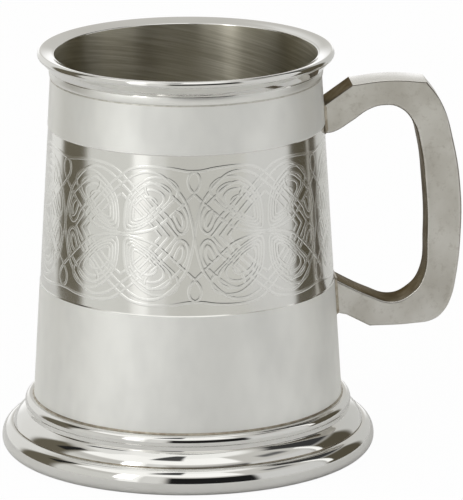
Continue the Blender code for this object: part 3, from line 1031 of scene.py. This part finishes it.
# The inside of the loop, the notch by the drum and the rounded strips along the edges of the top are given
# a very dark colour, which is painted shade.
# The thumb's flat on top is rubbed smoother, and its lighter colour there is a painted highlight.
unfiled_casting = clouded_metal(
    "unfiled_casting",
    (110.0, 3.0, 0.6),
    (0.13, 0.110, 0.085),
    (0.27, 0.245, 0.205),
    (0.38, 0.24),
    **{"Specular Tint": (0.35, 0.32, 0.27)},
)
# The thumb's flat is rubbed smoother, and its lighter colour on the upward faces is a painted highlight.
rubbed_top = clouded_metal(
    "rubbed_top", (90.0, 3.0, 0.6), (0.76, 0.75, 0.72), (0.84, 0.83, 0.80), (0.24, 0.16)
)
for metal in (filed_casting(), unfiled_casting, rubbed_top):
    handle.data.materials.append(metal)
loop_reach = 0.058
loop_z = 0.073
top_z = 0.1
mostly = 0.75
partly = 0.2
notch_reach = handle_outline[1][0]
for face in handle.data.polygons:
    reach, z = face.center.x - axis_x, face.center.z
    outwards = (reach - loop_reach) * face.normal.x + (z - loop_z) * face.normal.z
    # Faces turned in towards the loop, and the notch by the drum: dark painted shade.
    if abs(face.normal.y) < mostly and (outwards < 0 or (reach < notch_reach and z > top_z)):
        face.material_index = 1
    # Upward faces on top: smoother metal, with a lighter colour that is a painted highlight.
    elif face.normal.z > mostly and z > top_z:
        face.material_index = 2
    # The rounded strips along the top's edges: a dark line of painted shade.
    elif face.normal.z > partly and abs(face.normal.y) > partly and z > top_z:
        face.material_index = 1
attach(handle, "root")
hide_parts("handle")


# The two joints: solder drawn round the end of each arm in a small hollow fillet and wiped
# smooth, which holds the handle to the drum.

root_fillet = 0.0008
root_corner = 0.0009
root_steps = 6
root_sink = 0.0004
root_tuck = 0.0002


def root_joint(name, low_z, high_z):
    """A hollow fillet round an arm's end, running from the drum's wall up the arm's four sides."""
    half = handle_thickness / 2
    middle = (low_z + high_z) / 2
    tall = (high_z - low_z) / 2
    corners = [(1, 1, 0), (-1, 1, 90), (-1, -1, 180), (1, -1, 270)]
    edge = []
    for side, level, start in corners:
        for step in range(root_steps + 1):
            angle = math.radians(start + 90 * step / root_steps)
            out = (math.cos(angle), math.sin(angle))
            base = (side * (half - root_corner), middle + level * (tall - root_corner))
            edge.append((base, out))
    points = []
    rows = root_steps + 3
    for base, out in edge:
        profile = [(-root_tuck, -root_sink)]
        for step in range(root_steps + 1):
            angle = math.pi / 2 * step / root_steps
            away = root_fillet * (1 - math.sin(angle))
            profile.append((away, root_fillet * (1 - math.cos(angle))))
        profile.append((root_fillet, -root_sink))
        for away, proud in profile:
            y = base[0] + out[0] * (root_corner + away)
            z = base[1] + out[1] * (root_corner + away)
            wall = math.sqrt(drum_radius(z) ** 2 - y**2)
            points.append((axis_x + wall + proud, y, z))
    faces = []
    count = len(edge)
    for place in range(count):
        this, other = place * rows, (place + 1) % count * rows
        for row in range(rows):
            after = (row + 1) % rows
            faces.append((this + row, other + row, other + after, this + after))
    return piece_from(name, points, faces, 60.0)


root_metal = solder_metal("root_solder")
joints = [
    ("upper_joint", 0.0950, 0.1032, "handle_solder_upper"),
    ("lower_joint", 0.0401, 0.0506, "handle_solder_lower"),
]
for name, low_z, high_z, node in joints:
    joint = root_joint(name, low_z, high_z)
    joint.data.materials.append(root_metal)
    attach(joint, "root")
    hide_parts(node)


# The stand: a plain pale table top that runs back behind the tankard, soft light from above and
# both sides, and a camera a little above the lip, with the handle to its right.

table_half = 0.24
table_behind = 0.90
table = bpy.data.objects.new("table", bpy.data.meshes.new("table"))
corners = [
    (axis_x - table_half, -table_half, 0.0),
    (axis_x + table_half, -table_half, 0.0),
    (axis_x + table_half, table_behind, 0.0),
    (axis_x - table_half, table_behind, 0.0),
]
table.data.from_pydata(corners, [], [(0, 1, 2, 3)])
bpy.context.scene.collection.objects.link(table)
table_finish = Finish("pale_table")
chalk = table_finish.cloud(table_finish.add("ShaderNodeTexCoord").out("Object"), 6.0, 2.0)
pale = table_finish.mix(chalk, (0.90, 0.90, 0.90), (0.92, 0.92, 0.92))
cloth = table_finish.add("ShaderNodeBsdfDiffuse", {}, {"Color": pale}).out()
white = table_finish.add("ShaderNodeEmission", {}, {"Color": (1.0, 1.0, 1.0), "Strength": 1.0}).out()
glow_share = 0.97
seen = table_finish.add("ShaderNodeLightPath").out("Is Camera Ray") * glow_share
lit = table_finish.add("ShaderNodeMixShader", {}, {0: seen, 1: cloth, 2: white}).out()
table_finish.add("ShaderNodeOutputMaterial", {}, {"Surface": lit})
table.data.materials.append(table_finish.material)

camera_turn = math.radians(-5.0)
room = (0.66, 0.65, 0.62)
# Each panel: where its middle stands round the table in degrees from the camera, its whole width,
# the heights of its lower and upper edges in degrees, how soft its edges are, and its colour.
panels = [
    ("left reflector", -66, 46, -60, 28, 3, (0.76, 0.76, 0.73)),
    ("left gap", -107, 32, -40, 46, 5, (0.15, 0.135, 0.10)),
    ("left rear wall", -147, 44, -60, 42, 5, (0.88, 0.88, 0.86)),
    ("bright table behind", 180, 34, -60, 10, 6, (1.20, 1.20, 1.20)),
    ("right rear wall", 150, 32, -60, 28, 5, (0.66, 0.66, 0.64)),
    ("right gap", 113, 40, -40, 32, 4, (0.10, 0.088, 0.062)),
    ("right reflector", 68, 50, -60, 34, 4, (0.74, 0.74, 0.73)),
    ("table in front", 10, 78, -90, -2, 3, (0.70, 0.695, 0.66)),
    ("dark behind the camera", 15, 56, -2, 33, 3, (0.015, 0.015, 0.015)),
    ("strip light", -37, 14, -60, 42, 2, (1.22, 1.22, 1.20)),
    ("strip light's spill", -23, 12, -60, 42, 3, (0.84, 0.84, 0.82)),
    ("right rear dark", 124, 46, 34, 64, 3, (0.05, 0.05, 0.05)),
    ("right dark corner", 74, 24, 44, 54, 4, (0.15, 0.15, 0.15)),
    ("overhead light", -25, 130, 40, 95, 3, (1.22, 1.22, 1.20)),
    ("overhead light behind", -120, 80, 55, 95, 4, (0.95, 0.95, 0.93)),
    ("ceiling", 0, 720, 70, 95, 4, (1.10, 1.10, 1.08)),
    ("strip light's core", -41, 9, 14, 40, 3, (4.4, 4.4, 4.4)),
    ("left flag", -100, 11, 29, 49, 2, (0.02, 0.02, 0.02)),
    ("rear boom", -127, 8, 55, 68, 2, (0.05, 0.05, 0.05)),
    ("front boom", -21, 30, 58, 84, 3, (0.08, 0.08, 0.08)),
    ("right strip light", 97, 5, 6, 46, 1, (1.25, 1.25, 1.23)),
]


def studio_light():
    """The room as bright and dark panels by direction; the camera itself sees plain white."""
    world = bpy.data.worlds.new("studio")
    world.use_nodes = True
    bpy.context.scene.world = world
    studio = Finish("studio", world.node_tree)
    x, y, z = studio.split(studio.add("ShaderNodeTexCoord").out("Generated"))
    level = (x * x + y * y).math("SQRT").math("MAXIMUM", 0.00001)
    x, y = x / level, y / level
    light = room
    for _, turn, width, low, high, soft, colour in panels:
        heading = math.radians(turn) + camera_turn
        below, above = math.radians(max(-90, low - soft)), math.radians(low + soft)
        mask = z.smooth(math.sin(below), math.sin(above))
        if high < 90:
            below, above = math.radians(high - soft), math.radians(min(90, high + soft))
            mask = mask * z.smooth(math.sin(below), math.sin(above), 1.0, 0.0)
        if width < 360:
            towards = x * math.sin(heading) - y * math.cos(heading)
            outer = math.cos(math.radians(min(180, width / 2 + soft)))
            mask = mask * towards.smooth(outer, math.cos(math.radians(width / 2 - soft)))
        light = studio.mix(mask, light, colour)
    seen = studio.add("ShaderNodeLightPath").out("Is Camera Ray")
    light = studio.mix(seen, light, (1.0, 1.0, 1.0))
    glow = studio.add("ShaderNodeBackground", {}, {"Color": light, "Strength": 1.0}).out()
    studio.add("ShaderNodeOutputWorld", {}, {"Surface": glow})


studio_light()
bpy.context.scene.view_settings.view_transform = "Standard"

camera_distance = 1.6000
camera_height = 0.48683
camera_yaw = math.radians(5.0) + 0.0081788
camera_pitch = 0.261192
camera_roll = -0.0035243
camera = bpy.data.objects.new("camera", bpy.data.cameras.new("camera"))
camera.data.lens = 405.42
camera.data.sensor_width = 36.0
camera.data.clip_start = 0.05
camera.data.clip_end = 20.0
camera_x = axis_x + camera_distance * math.sin(camera_turn)
spot = (camera_x, -camera_distance * math.cos(camera_turn), camera_height)
aim = Matrix.Rotation(-camera_yaw, 4, "Z") @ Matrix.Rotation(math.pi / 2 - camera_pitch, 4, "X")
camera.matrix_world = Matrix.Translation(spot) @ aim @ Matrix.Rotation(camera_roll, 4, "Z")
bpy.context.scene.collection.objects.link(camera)
bpy.context.scene.camera = camera
